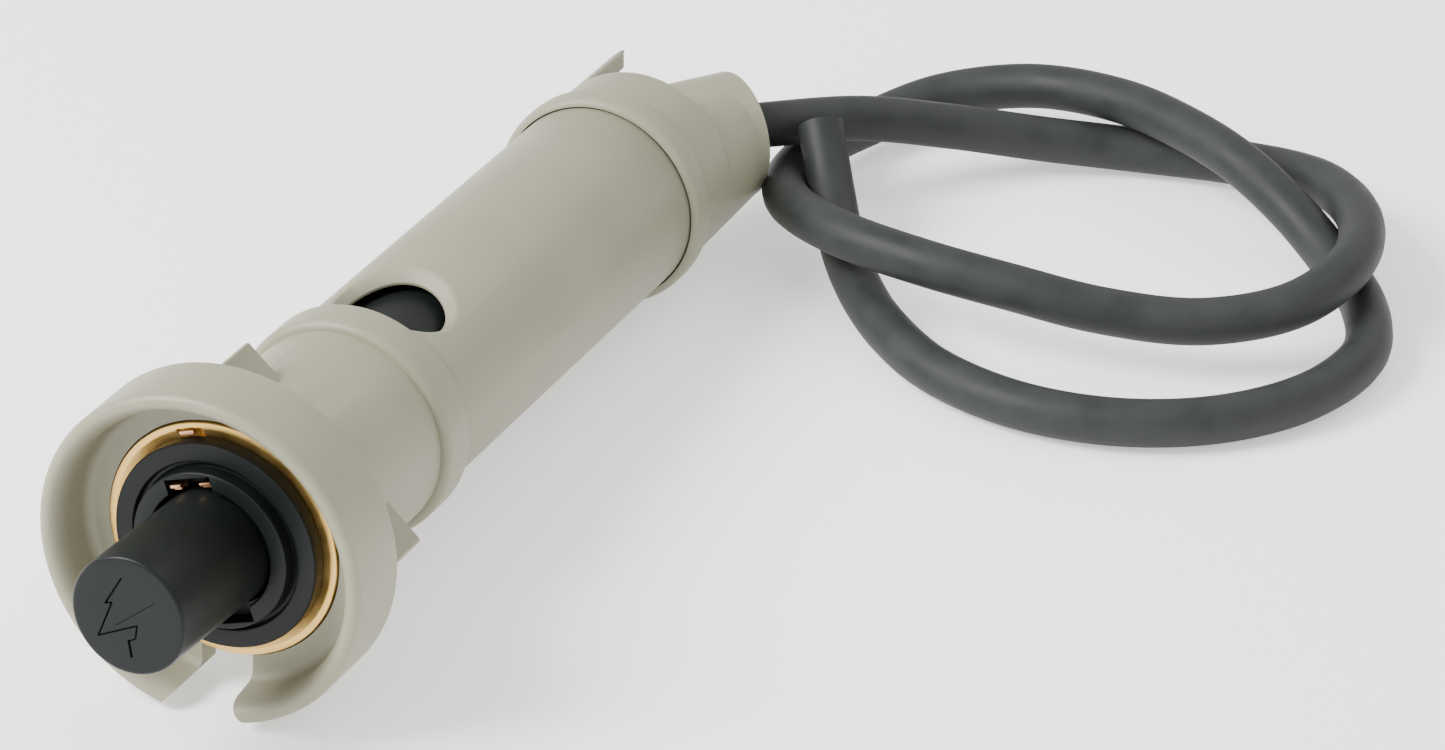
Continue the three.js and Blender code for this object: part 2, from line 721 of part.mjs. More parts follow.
place('ht_contact_spring', spring(CONTACT_SPRING, stackEnd, BARREL_END + PIN_START - 0.2), brass());
place('igniter_end_cap', endCap(), blackPlastic());
place('ht_terminal_pin', terminalPin(), brass());
place('cable_terminal', cableTerminal(), rubber());
place('ht_lead_inner', innerLead(), rubber());
place('ignition_cable', freeLead(), rubber(), group);

export default group;
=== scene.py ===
import bpy, bmesh, math, json
from mathutils import Vector, Matrix


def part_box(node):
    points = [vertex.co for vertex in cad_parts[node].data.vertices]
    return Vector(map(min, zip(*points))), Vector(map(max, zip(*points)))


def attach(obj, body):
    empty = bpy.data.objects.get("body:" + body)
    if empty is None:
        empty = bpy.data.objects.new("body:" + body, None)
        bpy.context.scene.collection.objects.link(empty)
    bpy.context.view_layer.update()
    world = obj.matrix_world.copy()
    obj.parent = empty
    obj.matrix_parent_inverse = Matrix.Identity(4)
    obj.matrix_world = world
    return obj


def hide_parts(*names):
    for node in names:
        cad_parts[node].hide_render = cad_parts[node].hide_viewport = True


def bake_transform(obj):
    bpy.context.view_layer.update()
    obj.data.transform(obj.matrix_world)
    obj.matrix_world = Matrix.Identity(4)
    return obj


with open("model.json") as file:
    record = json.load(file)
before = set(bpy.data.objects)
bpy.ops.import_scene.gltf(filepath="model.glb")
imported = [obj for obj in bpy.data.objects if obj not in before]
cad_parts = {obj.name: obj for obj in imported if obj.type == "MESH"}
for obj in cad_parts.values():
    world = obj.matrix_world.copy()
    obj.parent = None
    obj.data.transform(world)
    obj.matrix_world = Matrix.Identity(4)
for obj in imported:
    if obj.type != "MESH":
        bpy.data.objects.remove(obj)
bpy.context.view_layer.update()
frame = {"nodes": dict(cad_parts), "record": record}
nodes = frame["nodes"]
record = frame["record"]
MM = 0.001

# ---- the housing's own axes: Y along its axis to the rear, X to the spout's side, Z upwards
TUBE_MIDDLE_Y = 36.5
LOCAL_Y = Vector(record["behaviour"]["joints"][0]["axis"]).normalized()
LOCAL_X = Vector((1, 0, 0))
LOCAL_Z = LOCAL_X.cross(LOCAL_Y)
tube_lo, tube_hi = (Vector(corner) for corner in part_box("body_tube"))
ORIGIN = (tube_lo + tube_hi) / 2 - LOCAL_Y * TUBE_MIDDLE_Y * MM
BASIS = Matrix((LOCAL_X, LOCAL_Y, LOCAL_Z)).transposed().to_4x4()
TO_WORLD = Matrix.Translation(ORIGIN) @ BASIS @ Matrix.Scale(MM, 4)


def local(x, y, z):
    return TO_WORLD @ Vector((x, y, z))


# ---- camera
camera_data = bpy.data.cameras.new("camera")
camera = bpy.data.objects.new("camera", camera_data)
bpy.context.scene.collection.objects.link(camera)
bpy.context.scene.camera = camera
camera_data.lens = 146.8
camera_data.sensor_width = 36
camera_data.clip_start = 0.01
camera_data.clip_end = 20
CAMERA_AT = (329.54, -634.19, 375.25)
VIEW_RIGHT = Vector((0.91117, 0.41121, 0.02599))
VIEW_UP = Vector((-0.20964, 0.40838, 0.88841))
axes = [BASIS.to_3x3() @ v for v in (VIEW_RIGHT, VIEW_UP, VIEW_RIGHT.cross(VIEW_UP))]
camera.matrix_world = Matrix.Translation(local(*CAMERA_AT)) @ Matrix(axes).transposed().to_4x4()


# ---- lead: centre line of the free stretch, millimetres, before the housing is centred
CORD_ROUTE_MM = [
    (8.6, 106.5, 15.9), (21.8, 121.5, 13.1), (33.1, 132.2, 9.0), (45.1, 140.6, 5.4),
    (58.4, 146.3, 3.7), (73.8, 147.7, 4.3), (89.4, 141.4, 7.5), (100.4, 127.6, 10.2),
    (104.0, 111.9, 11.2), (99.6, 99.4, 10.0), (88.6, 91.5, 8.9), (75.0, 87.1, 9.8),
    (61.7, 84.7, 11.8), (48.0, 83.9, 13.2), (33.0, 87.6, 12.9), (19.7, 99.2, 10.1),
    (15.0, 117.2, 7.0), (18.0, 134.7, 5.0), (25.6, 146.2, 6.1), (38.7, 150.5, 8.6),
    (54.1, 147.9, 10.7), (68.2, 141.1, 11.8), (79.7, 134.7, 11.1), (89.1, 130.3, 7.6),
    (97.5, 124.5, 4.3), (105.8, 114.6, 3.6), (110.5, 101.2, 3.6), (107.4, 87.1, 3.6),
    (98.2, 75.5, 3.6), (85.3, 68.5, 3.6), (70.7, 66.8, 3.6), (56.2, 70.7, 3.6),
    (44.9, 78.9, 3.6), (36.5, 88.0, 4.0), (30.1, 96.4, 5.8), (25.4, 103.4, 9.7),
    (21.4, 109.1, 14.9), (20.1, 110.8, 16.8),
]
MIDDLE_MM = 23.44
CABLE_R = 3.5


def smooth_route(points, per=10):
    """Centripetal Catmull-Rom curve through the points."""
    out = []
    last = len(points) - 1
    for i in range(last):
        p1, p2 = points[i], points[i + 1]
        p0 = points[i - 1] if i else 2 * p1 - p2
        p3 = points[i + 2] if i + 2 <= last else 2 * p2 - p1
        t1 = (p1 - p0).length ** 0.5
        t2 = t1 + (p2 - p1).length ** 0.5
        t3 = t2 + (p3 - p2).length ** 0.5
        for k in range(per):
            t = t1 + (t2 - t1) * k / per
            a1 = p0.lerp(p1, t / t1)
            a2 = p1.lerp(p2, (t - t1) / (t2 - t1))
            a3 = p2.lerp(p3, (t - t2) / (t3 - t2))
            b1 = a1.lerp(a2, t / t2)
            b2 = a2.lerp(a3, (t - t1) / (t3 - t1))
            out.append(b1.lerp(b2, (t - t1) / (t2 - t1)))
    out.append(points[-1])
    return out


def curve_object(name, points, radius):
    data = bpy.data.curves.new(name, "CURVE")
    data.dimensions = "3D"
    data.bevel_depth = radius
    data.bevel_resolution = 8
    data.use_fill_caps = True
    spline = data.splines.new("POLY")
    spline.points.add(len(points) - 1)
    for target, point in zip(spline.points, points):
        target.co = (*point, 1)
    spline.use_smooth = True
    obj = bpy.data.objects.new(name, data)
    bpy.context.scene.collection.objects.link(obj)
    return obj


# ---- materials
NOISE_LOW = 0.3                   # the range that most of the noise falls in
NOISE_HIGH = 0.7
BUMP_STRENGTH = 0.35


def node_material(name):
    material = bpy.data.materials.new(name)
    material.use_nodes = True
    tree = material.node_tree
    return material, tree, tree.nodes["Principled BSDF"]


def noise(tree, scale, detail):
    coords = tree.nodes.new("ShaderNodeTexCoord")
    texture = tree.nodes.new("ShaderNodeTexNoise")
    texture.inputs["Scale"].default_value = scale
    texture.inputs["Detail"].default_value = detail
    tree.links.new(coords.outputs["Object"], texture.inputs["Vector"])
    return texture.outputs["Fac"]


def ramp(tree, source, stops):
    node = tree.nodes.new("ShaderNodeValToRGB")
    elements = node.color_ramp.elements
    while len(elements) < len(stops):
        elements.new(0.5)
    for element, (at, color) in zip(elements, stops):
        element.position = at
        element.color = (*color, 1)
    tree.links.new(source, node.inputs["Fac"])
    return node.outputs["Color"]


def remap(tree, source, low, high):
    """The noise's middle range spread from low to high."""
    node = tree.nodes.new("ShaderNodeMapRange")
    node.inputs["From Min"].default_value = NOISE_LOW
    node.inputs["From Max"].default_value = NOISE_HIGH
    node.inputs["To Min"].default_value = low
    node.inputs["To Max"].default_value = high
    tree.links.new(source, node.inputs["Value"])
    return node.outputs["Result"]


def bump(tree, shader, source, strength, distance):
    node = tree.nodes.new("ShaderNodeBump")
    node.inputs["Strength"].default_value = strength
    node.inputs["Distance"].default_value = distance
    tree.links.new(source, node.inputs["Height"])
    tree.links.new(node.outputs["Normal"], shader.inputs["Normal"])


def textured(name, dark, light, rough, grain, bump_height, metal=0.0, patch=60, shine=0.5):
    """Colour and roughness that drift in soft patches, over a fine surface grain."""
    material, tree, shader = node_material(name)
    patches = noise(tree, patch, detail=4.0)
    color = ramp(tree, patches, [(NOISE_LOW, dark), (NOISE_HIGH, light)])
    tree.links.new(color, shader.inputs["Base Color"])
    tree.links.new(remap(tree, patches, *rough), shader.inputs["Roughness"])
    shader.inputs["Metallic"].default_value = metal
    shader.inputs["Specular IOR Level"].default_value = shine
    bump(tree, shader, noise(tree, grain, detail=2.0), BUMP_STRENGTH, bump_height)
    return material


MATERIALS = {
    "housing_plastic": textured(
        "pebble grey housing", dark=(0.243, 0.235, 0.163), light=(0.272, 0.263, 0.185),
        rough=(0.42, 0.54), grain=1800, bump_height=0.00002, shine=0.4),
    "black_plastic": textured(
        "slate black plastic", dark=(0.0055, 0.0072, 0.007), light=(0.009, 0.011, 0.0106),
        rough=(0.36, 0.48), grain=2200, bump_height=0.00002, shine=0.17),
    "black_rubber": textured(
        "black rubber", dark=(0.01, 0.012, 0.011), light=(0.016, 0.018, 0.017),
        rough=(0.65, 0.8), grain=1500, bump_height=0.00003, shine=0.25),
    "cable_rubber": textured(
        "cable jacket", dark=(0.0175, 0.0205, 0.019), light=(0.031, 0.0345, 0.0315),
        rough=(0.5, 0.68), grain=1400, bump_height=0.00004, patch=140, shine=0.25),
    "brass": textured(
        "brass", dark=(0.66, 0.41, 0.11), light=(0.86, 0.57, 0.2),
        rough=(0.34, 0.5), grain=2600, bump_height=0.00002, metal=0.95, patch=260),
    "copper": textured(
        "copper alloy", dark=(0.55, 0.27, 0.13), light=(0.78, 0.45, 0.26),
        rough=(0.28, 0.45), grain=2600, bump_height=0.00001, metal=1.0, patch=300),
    "steel": textured(
        "drawn steel", dark=(0.45, 0.46, 0.47), light=(0.62, 0.63, 0.64),
        rough=(0.25, 0.4), grain=2400, bump_height=0.00001, metal=1.0, patch=200),
    "crystal_ceramic": textured(
        "fired ceramic", dark=(0.66, 0.58, 0.44), light=(0.78, 0.71, 0.57),
        rough=(0.45, 0.6), grain=1600, bump_height=0.00002),
    "sleeve_plastic": textured(
        "natural insulation", dark=(0.68, 0.67, 0.62), light=(0.78, 0.77, 0.73),
        rough=(0.4, 0.5), grain=1600, bump_height=0.00001),
}

for part in record["subparts"]:
    carried = nodes[part["node"]]
    carried.data.materials.clear()
    carried.data.materials.append(MATERIALS[part["material_slot"]])


# ---- mesh helpers, in the housing's own millimetres
def lathe(profile, segments=160):
    """A closed list of (radius, y) turned about the Y axis."""
    bm = bmesh.new()
    rings = []
    for radius, y in profile:
        if radius < 1e-6:
            rings.append([bm.verts.new((0, y, 0))])
            continue
        ring = []
        for k in range(segments):
            angle = 2 * math.pi * k / segments
            ring.append(bm.verts.new((radius * math.cos(angle), y, radius * math.sin(angle))))
        rings.append(ring)
    count = len(rings)
    for i in range(count):
        a, b = rings[i], rings[(i + 1) % count]
        if len(a) == 1 and len(b) == 1:
            continue
        for k in range(segments):
            n = (k + 1) % segments
            if len(a) == 1:
                bm.faces.new((a[0], b[n], b[k]))
            elif len(b) == 1:
                bm.faces.new((a[k], a[n], b[0]))
            else:
                bm.faces.new((a[k], a[n], b[n], b[k]))
    bmesh.ops.recalc_face_normals(bm, faces=bm.faces)
    return bm


def arc(r, y, radius, start, end, steps=8):
    points = []
    for i in range(steps + 1):
        angle = math.radians(start + (end - start) * i / steps)
        points.append((r + radius * math.cos(angle), y + radius * math.sin(angle)))
    return points


def ellipse_arc(r, y, across, along, start, end, steps=14):
    points = []
    for i in range(steps + 1):
        angle = math.radians(start + (end - start) * i / steps)
        points.append((r + across * math.cos(angle), y + along * math.sin(angle)))
    return points


def prism(outline, start, end):
    """A closed outline of (x, z) carried along Y."""
    bm = bmesh.new()
    front = [bm.verts.new((x, start, z)) for x, z in outline]
    rear = [bm.verts.new((x, end, z)) for x, z in outline]
    bm.faces.new(front)
    bm.faces.new(rear[::-1])
    count = len(outline)
    for i in range(count):
        j = (i + 1) % count
        bm.faces.new((front[i], rear[i], rear[j], front[j]))
    bmesh.ops.recalc_face_normals(bm, faces=bm.faces)
    return bm


def box(width, length, height, x, y, z):
    half = width / 2
    deep = height / 2
    outline = [(x - half, z - deep), (x + half, z - deep), (x + half, z + deep), (x - half, z + deep)]
    return prism(outline, y - length / 2, y + length / 2)


def cone(start_r, end_r, length, segments=96):
    """A cone along Y, its wide or narrow start at y 0."""
    return lathe([(0, 0), (start_r, 0), (end_r, length), (0, length)], segments)


def moved(bm, matrix):
    bm.transform(matrix)
    return bm


def about_axis(degrees):
    """The turn about Y that carries +X to the given direction, towards +Z."""
    return Matrix.Rotation(-math.radians(degrees), 4, "Y")


def merged(first, *others):
    scratch = bpy.data.meshes.new("scratch")
    for other in others:
        other.to_mesh(scratch)
        first.from_mesh(scratch)
        other.free()
    bpy.data.meshes.remove(scratch)
    return first


def mesh_object(name, bm):
    """The mesh as an object in its own millimetres; settle() brings it into the world."""
    data = bpy.data.meshes.new(name)
    bm.to_mesh(data)
    bm.free()
    obj = bpy.data.objects.new(name, data)
    bpy.context.scene.collection.objects.link(obj)
    return obj


def apply_all(obj):
    graph = bpy.context.evaluated_depsgraph_get()
    data = bpy.data.meshes.new_from_object(obj.evaluated_get(graph))
    old = obj.data
    obj.modifiers.clear()
    obj.data = data
    bpy.data.meshes.remove(old)


def boolean(obj, tool, operation="DIFFERENCE"):
    cutter = mesh_object("cutter", tool)
    step = obj.modifiers.new("cut", "BOOLEAN")
    step.operation = operation
    step.solver = "EXACT"
    step.object = cutter
    apply_all(obj)
    cutter_data = cutter.data
    bpy.data.objects.remove(cutter)
    bpy.data.meshes.remove(cutter_data)


def soften(obj, voxel, passes, factor=0.5):
    """One skin over the joined shapes, with every edge eased as in a moulding."""
    remesh = obj.modifiers.new("skin", "REMESH")
    remesh.mode = "VOXEL"
    remesh.voxel_size = voxel
    remesh.adaptivity = 0
    ease = obj.modifiers.new("ease", "SMOOTH")
    ease.factor = factor
    ease.iterations = passes
    apply_all(obj)


def round_edges(obj, width, limit=35, segments=2):
    step = obj.modifiers.new("edges", "BEVEL")
    step.width = width
    step.segments = segments
    step.limit_method = "ANGLE"
    step.angle_limit = math.radians(limit)
    step.harden_normals = False
    step.use_clamp_overlap = True
    apply_all(obj)


def settle(obj, node, slot, sharp, body="housing"):
    """World place, shading, material, the node that the piece stands for and the body it rides."""
    obj.data.transform(TO_WORLD)
    obj.data.update()
    obj.data.shade_smooth()
    obj.data.set_sharp_from_angle(angle=math.radians(sharp))
    obj.data.materials.clear()
    obj.data.materials.append(MATERIALS[slot])
    if body:
        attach(obj, body)
    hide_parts(node)
    return obj


# ---- shared sizes of the housing
HOOD_R = 23.8
HOOD_FRONT = -47.0
HOOD_BACK = -35.8
CUP_R = 20.6
DISC_FRONT = -39.5
NECK_R = 15.1
BORE_R = 12.8
BAND_R = 16.4
BAND_LENGTH = 6.2
BAND_ROUND = 1.25
TUBE_R = 15.0
SOCKET_R = 15.25
SOCKET_DEPTH = 4.6
RING_SEAT_R = 17.1
RING_SEAT_FLOOR = -37.7
BARREL_HOLE_R = 11.95
LUG_ANGLE = -42.5
TUBE_END = 77.3
FINE = 192                        # sides of the large round surfaces


def lug(angle):
    """A square-ended block on the neck that turns behind the panel."""
    root, reach = 9, 17.5
    start, end = -33.0, -21.8
    half = 10.6
    chamfer = 0.3
    outline = [(root, -half), (reach - chamfer, -half), (reach, -half + chamfer),
               (reach, half - chamfer), (reach - chamfer, half), (root, half)]
    return moved(prism(outline, start, end), about_axis(angle))


def slot_cutter():
    """The slot under the hood, straight by the neck and opening out at the rim."""
    middle = 0.3
    half, flare = 3.8, 7.8
    top, bend, bottom = -16.5, -20.2, -24.6
    outline = [(middle - half, top), (middle - half, bend), (middle - flare, bottom),
               (middle + flare, bottom), (middle + half, bend), (middle + half, top)]
    return prism(outline, HOOD_FRONT - 1, HOOD_BACK + 1)


def front_housing():
    edge, back_edge = 1.1, 0.4
    lip_width, lip_depth = 1.8, 3.4
    fillet, crease = 1.5, 0.7
    root, band_edge = 0.5, 0.3
    profile = [
        *ellipse_arc(CUP_R + 2.0, HOOD_FRONT + lip_depth, lip_width, lip_depth, 180, 270),
        *arc(HOOD_R - edge, HOOD_FRONT + edge, edge, -90, 0),
        *arc(HOOD_R - back_edge, HOOD_BACK - back_edge, back_edge, 0, 90, 4),
        (NECK_R + root, HOOD_BACK),
        (NECK_R, HOOD_BACK + root),
        (NECK_R, -BAND_LENGTH - crease),
        (NECK_R + 0.03, -BAND_LENGTH),
        *arc(BAND_R - BAND_ROUND, -BAND_LENGTH + BAND_ROUND, BAND_ROUND, -90, 0, 10),
        *arc(BAND_R - band_edge, -band_edge, band_edge, 0, 90, 4),
        (SOCKET_R, 0),
        (SOCKET_R, -SOCKET_DEPTH),
        (BORE_R, -SOCKET_DEPTH),
        (BORE_R, HOOD_BACK),
        (BARREL_HOLE_R, HOOD_BACK),
        (BARREL_HOLE_R, RING_SEAT_FLOOR),
        (RING_SEAT_R, RING_SEAT_FLOOR),
        (RING_SEAT_R, DISC_FRONT),
        *arc(CUP_R - fillet, DISC_FRONT - fillet, fillet, 90, 0, 8),
    ]
    obj = mesh_object("housing_front", lathe(profile, FINE))
    for angle in (LUG_ANGLE, LUG_ANGLE + 180):
        boolean(obj, lug(angle), "UNION")
    clear = BORE_R + 0.02
    boolean(obj, lathe([(0, -34), (clear, -34), (clear, -12), (0, -12)], FINE))
    boolean(obj, slot_cutter())
    round_edges(obj, 0.22, 40, 2)
    return settle(obj, "front_housing", "housing_plastic", 40)


def window_cutter(segments=128):
    """The window: a round hole whose countersink keeps an even width round the tube's curve."""
    centre_x, centre_y = 0.6, 8.3
    hole_r, rim_r = 7.05, 9.15
    below, above = 9.0, 19.0
    # each level is a radius and the cylinder that it follows, or the flat height that it lies at
    levels = [
        (hole_r, None, below),
        (hole_r, BORE_R + 0.35, 0),
        (hole_r + 0.15, BORE_R + 0.6, 0),
        (8.35, TUBE_R - 0.28, 0),
        (8.7, TUBE_R - 0.07, 0),
        (rim_r, TUBE_R + 0.06, 0),
        (rim_r, None, above),
    ]
    bm = bmesh.new()
    rings = []
    for radius, on_cylinder, height in levels:
        ring = []
        for k in range(segments):
            angle = 2 * math.pi * k / segments
            x = centre_x + radius * math.cos(angle)
            y = centre_y + radius * math.sin(angle)
            z = math.sqrt(on_cylinder ** 2 - x * x) if on_cylinder else height
            ring.append(bm.verts.new((x, y, z)))
        rings.append(ring)
    for a, b in zip(rings, rings[1:]):
        for k in range(segments):
            n = (k + 1) % segments
            bm.faces.new((a[k], a[n], b[n], b[k]))
    bm.faces.new(rings[0][::-1])
    bm.faces.new(rings[-1])
    bmesh.ops.recalc_face_normals(bm, faces=bm.faces)
    return bm


def body_tube():
    start = -SOCKET_DEPTH + 0.3
    profile = [(BORE_R, start), (TUBE_R, start), (TUBE_R, TUBE_END), (BORE_R, TUBE_END)]
    obj = mesh_object("housing_tube", lathe(profile, FINE))
    boolean(obj, window_cutter())
    round_edges(obj, 0.12, 45, 2)
    return settle(obj, "body_tube", "housing_plastic", 30)


# ---- spout
SPOUT_ANGLE = 34
SPOUT_AT = Vector((8.31, 106.4, 0))
SPOUT_R = 9.6
SPOUT_BASE_R = 9.8
SPOUT_LENGTH = 24
SPOUT_BORE_R = 6.7
SPOUT_BORE_LENGTH = 14
CAVITY_START = 73
CAVITY_END = 87
REAR_SOCKET_END = 77.6
LEAD_HOLE_R = 4.0
LEAD_ANGLE = 44                   # direction of the lead as it leaves the spout
LEAD_LIFT = 1.1                   # the lead lies high in the spout
TO_SPOUT = Matrix.Translation(SPOUT_AT) @ Matrix.Rotation(-math.radians(SPOUT_ANGLE), 4, "Z")


def leaning(base, end):
    """A cone from one circle to another, each given as centre x, centre z, radius and y."""
    start_x, start_z, start_r, start_y = base
    end_x, end_z, end_r, end_y = end
    length = end_y - start_y
    bm = cone(start_r, end_r, length)
    for vert in bm.verts:
        t = vert.co.y / length
        vert.co.x += start_x + (end_x - start_x) * t
        vert.co.z += start_z + (end_z - start_z) * t
        vert.co.y += start_y
    return bm


def tongue():
    """A strip of the tube's wall that stands behind the body, its tip bevelled and bowed."""
    middle_angle, half_width, wall = 137, 3.0, 2.3
    root, tip = 84.0, 103.0
    bevel, bow = 1.25, 0.03
    steps = 8
    half_turn = half_width / TUBE_R
    bm = bmesh.new()
    rows = []
    for i in range(steps + 1):
        turn = half_turn * (2 * i / steps - 1)
        angle = math.radians(middle_angle) + turn
        across = TUBE_R * math.sin(turn)
        row = []
        for r in (TUBE_R - wall, TUBE_R):
            end = tip - bevel * (TUBE_R - r) - bow * across * across
            for y in (root, end):
                row.append(bm.verts.new((r * math.cos(angle), y, r * math.sin(angle))))
        rows.append(row)
    for a, b in zip(rows, rows[1:]):
        for i, j in ((0, 1), (1, 3), (3, 2), (2, 0)):
            bm.faces.new((a[i], a[j], b[j], b[i]))
    bm.faces.new((rows[0][0], rows[0][2], rows[0][3], rows[0][1]))
    bm.faces.new((rows[-1][0], rows[-1][1], rows[-1][3], rows[-1][2]))
    bmesh.ops.recalc_face_normals(bm, faces=bm.faces)
    return bm


def rear_body():
    """The rear band, stepping down to the closed end of the body."""
    start, full, end, close = 74.8, 78.8, 80.8, 90.2
    floor = 86
    edge = 0.9
    return lathe([
        (BORE_R, start + 0.2),
        *arc(BAND_R - BAND_ROUND, start + BAND_ROUND, BAND_ROUND, -82, 0, 10),
        (BAND_R, full),
        (BAND_R - 0.25, full + 0.6),
        (TUBE_R + 0.35, end - 0.5),
        (TUBE_R, end + 0.3),
        *arc(TUBE_R - edge, close - edge, edge, 0, 90, 6),
        (0, close),
        (0, floor),
        (BORE_R, floor),
    ])


def plug(radius, start, end):
    """A plain cylinder on the axis, to cut with."""
    return lathe([(0, start), (radius, start), (radius, end), (0, end)], 96)


def rear_elbow():
    spout_base = TO_SPOUT @ Matrix.Translation((0, 2 - SPOUT_LENGTH, 0))
    spout = moved(cone(SPOUT_BASE_R, SPOUT_R, SPOUT_LENGTH), spout_base)
    fairings = [
        leaning((2.95, -2.1, 11.8, 81), (6.8, -1.1, 9.05, 102.6)),
        leaning((3.1, -1.0, 11.5, 81), (6.8, -0.5, 9.05, 102.6)),
        leaning((3.3, 0.3, 11.0, 83), (6.6, 0.2, 9.0, 102.0)),
        leaning((3.3, 1.5, 10.2, 84), (6.4, 0.4, 8.9, 100.0)),
    ]
    obj = mesh_object("housing_elbow", merged(rear_body(), spout, *fairings, tongue()))
    soften(obj, 0.33, 5)
    beyond = moved(box(40, 20, 40, 0, 10, 0), TO_SPOUT)
    boolean(obj, beyond)
    bore_base = TO_SPOUT @ Matrix.Translation((0, 1 - SPOUT_BORE_LENGTH, 0))
    boolean(obj, moved(cone(SPOUT_BORE_R, SPOUT_BORE_R, SPOUT_BORE_LENGTH), bore_base))
    boolean(obj, plug(BORE_R, CAVITY_START, CAVITY_END))
    boolean(obj, plug(SOCKET_R, CAVITY_START, REAR_SOCKET_END))
    return settle(obj, "rear_elbow", "housing_plastic", 50)


def spout_grommet():
    """The bush in the spout's mouth, with the lead's own hole through it at the lead's angle."""
    outer, inner = SPOUT_BORE_R - 0.2, 3.6
    back, front, edge = -6, -0.3, 0.3
    profile = [(inner, back), (outer, back), (outer, front - edge),
               *arc(outer - edge, front - edge, edge, 0, 90, 4), (inner, front)]
    obj = mesh_object("spout_bush", moved(lathe(profile, 72), TO_SPOUT))
    lead_angle = math.radians(LEAD_ANGLE)
    out = Vector((math.sin(lead_angle), math.cos(lead_angle), 0))
    start = SPOUT_AT + Vector((0, 0, LEAD_LIFT)) - out * 11
    to_lead = Matrix.Translation(start) @ Matrix.Rotation(-lead_angle, 4, "Z")
    boolean(obj, moved(cone(LEAD_HOLE_R, LEAD_HOLE_R, 14, 48), to_lead))
    return settle(obj, "spout_grommet", "black_rubber", 40)


# ---- igniter front
RING_FRONT = -39.9
KEY_ANGLE = 109
NOTCH_ANGLE = 101.5
KEY_R = 15.45
KEY_SIZE = (0.8, 0.5, 2.3)        # along the radius, along the axis and round the ring


def brass_ring():
    outer, inner = RING_SEAT_R - 0.2, 12.1
    edge = 0.15
    profile = [
        (inner, RING_SEAT_FLOOR - 0.2),
        (outer, RING_SEAT_FLOOR - 0.2),
        *arc(outer - edge, RING_FRONT + edge, edge, 0, -90, 4),
        (16.05, RING_FRONT),
        (15.9, RING_FRONT + 0.04),
        (15.1, RING_FRONT + 0.4),
        (inner, RING_FRONT + 0.6),
    ]
    obj = mesh_object("seat_ring", lathe(profile, FINE))
    notch = box(1.4, 2, 1.1, KEY_R, RING_FRONT, 0)
    boolean(obj, moved(notch, about_axis(NOTCH_ANGLE)))
    recess = box(1.4, 1.4, 2.9, KEY_R, RING_FRONT, 0)
    boolean(obj, moved(recess, about_axis(KEY_ANGLE)))
    return settle(obj, "brass_ring", "brass", 25)


def ring_key():
    tab = moved(box(*KEY_SIZE, KEY_R, RING_FRONT + 0.1, 0), about_axis(KEY_ANGLE))
    obj = mesh_object("ring_tab", tab)
    round_edges(obj, 0.12, 40, 3)
    return settle(obj, "ring_key", "copper", 35)


CONTACT_ANGLE = 108
CONTACT_FLOOR = -40.8
CONTACT_OFFSET = 2.3              # from the middle of the slot to the middle of each contact
CONTACT_WIDTH = 1.6
SHOULDER_STEP = -36.5


def igniter_barrel():
    front, floor, flange, back, end = -43.5, -41.0, -42.0, -39.7, 42.0
    button_bore, shoulder_bore, hammer_bore = 8.95, 10.3, 5.2
    ridge, groove, rim, barrel = 11.35, 12.2, 14.85, 11.6
    bore_step = -10
    edge = 0.25
    profile = [
        *arc(button_bore + edge, front + edge, edge, 180, 270, 4),
        *arc(ridge - edge, front + edge, edge, -90, 0, 4),
        (ridge, floor - 0.3),
        (ridge + 0.25, floor),
        (groove - 0.2, floor),
        (groove, floor - 0.2),
        *arc(groove + edge, flange + edge, edge, 180, 270, 4),
        *arc(rim - edge, flange + edge, edge, -90, 0, 4),
        (rim, back),
        (barrel, back),
        (barrel, end - 0.6),
        (barrel - 0.6, end),
        (hammer_bore, end),
        (hammer_bore, bore_step),
        (shoulder_bore, bore_step),
        (shoulder_bore, SHOULDER_STEP),
        (button_bore, SHOULDER_STEP),
    ]
    obj = mesh_object("igniter_body", lathe(profile, FINE))
    for angle in (CONTACT_ANGLE, CONTACT_ANGLE + 180):
        slot = box(2.6, 3.8, 7, 9.2, CONTACT_FLOOR - 1.9, 0)
        boolean(obj, moved(slot, about_axis(angle)))
    return settle(obj, "igniter_barrel", "black_plastic", 30)


def contact_clip(node, side):
    """A leaf folded back on itself, its two ends facing the button."""
    offset = side * CONTACT_OFFSET
    upper = box(0.4, 2.0, CONTACT_WIDTH, 9.35, CONTACT_FLOOR - 1.35, offset)
    lower = box(0.3, 1.5, CONTACT_WIDTH - 0.4, 8.85, CONTACT_FLOOR - 1.1, offset)
    fold = box(0.85, 0.4, CONTACT_WIDTH, 9.13, CONTACT_FLOOR - 0.5, offset)
    obj = mesh_object(node + "_leaf", moved(upper, about_axis(CONTACT_ANGLE)))
    for piece in (lower, fold):
        boolean(obj, moved(piece, about_axis(CONTACT_ANGLE)), "UNION")
    round_edges(obj, 0.1, 40, 2)
    return settle(obj, node, "copper", 35)


# ---- push button with its cut bolt mark
BUTTON_R = 8.35
BUTTON_FACE = -64.4
BUTTON_END = -20.5
BUTTON_TILT = 2.1                 # degrees, the button's slack in its bore
TILT_DIRECTION = 120              # the way its face leans, from +X towards +Z
TILT_PIVOT = -42
HOLLOW_R = 6.8
HOLLOW_FLOOR = -60.8
SHOULDER_R = 9.85
SHOULDER_FRONT = -35.8
SHOULDER_BACK = -32.9
